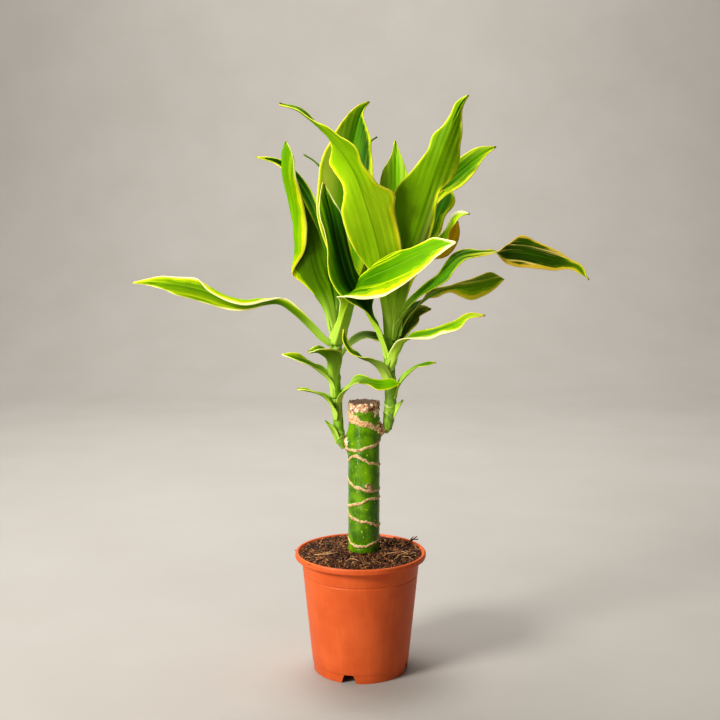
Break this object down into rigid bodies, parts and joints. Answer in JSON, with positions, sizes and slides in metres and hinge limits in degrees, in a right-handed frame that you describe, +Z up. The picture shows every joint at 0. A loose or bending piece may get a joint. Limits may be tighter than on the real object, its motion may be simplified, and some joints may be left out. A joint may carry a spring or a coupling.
{
  "type": "potted corn plant",
  "caption": "Potted corn plant: a short sawn green cane with tan scar rings and leafy side shoots with yellow-margined strap leaves, in soil in a round terracotta-orange plastic nursery pot.",
  "frame": {"origin": "the pot's axis where it meets the surface it stands on, which is also the middle of the whole plant's box within a few millimetres", "axes": "+Z up along the pot's axis, -Y towards the picture's camera, +X to the right in the picture"},
  "size_m": [0.4092, 0.175, 0.5237],
  "materials": {
    "pot": "satin",
    "soil": "matte",
    "cane": "satin",
    "shoot": "satin",
    "leaf": "satin",
    "dry_leaf": "matte"
  },
  "bodies": {
    "root": {"cane": "cane", "left_back_inner_leaf": "leaf", "left_back_leaf": "leaf", "left_curled_leaf": "leaf", "left_far_leaf": "leaf", "left_folded_leaf": "leaf", "left_front_leaf": "leaf", "left_inner_leaf": "leaf", "left_low_leaf": "leaf", "left_lower_leaf": "leaf", "left_needle_leaf": "leaf", "left_rear_leaf": "leaf", "left_scale_leaf": "leaf", "left_shoot": "shoot", "left_thin_leaf": "leaf", "pot": "pot", "right_bright_leaf": "leaf", "right_brown_leaf": "dry_leaf", "right_dark_leaf": "leaf", "right_far_leaf": "leaf", "right_front_leaf": "leaf", "right_great_leaf": "leaf", "right_inner_leaf": "leaf", "right_low_leaf": "leaf", "right_olive_leaf": "leaf", "right_rear_leaf": "leaf", "right_scale_leaf": "leaf", "right_shoot": "shoot", "right_short_leaf": "leaf", "right_side_leaf": "leaf", "right_tall_leaf": "leaf", "right_under_leaf": "leaf", "soil": "soil"}
  },
  "joints": []
}
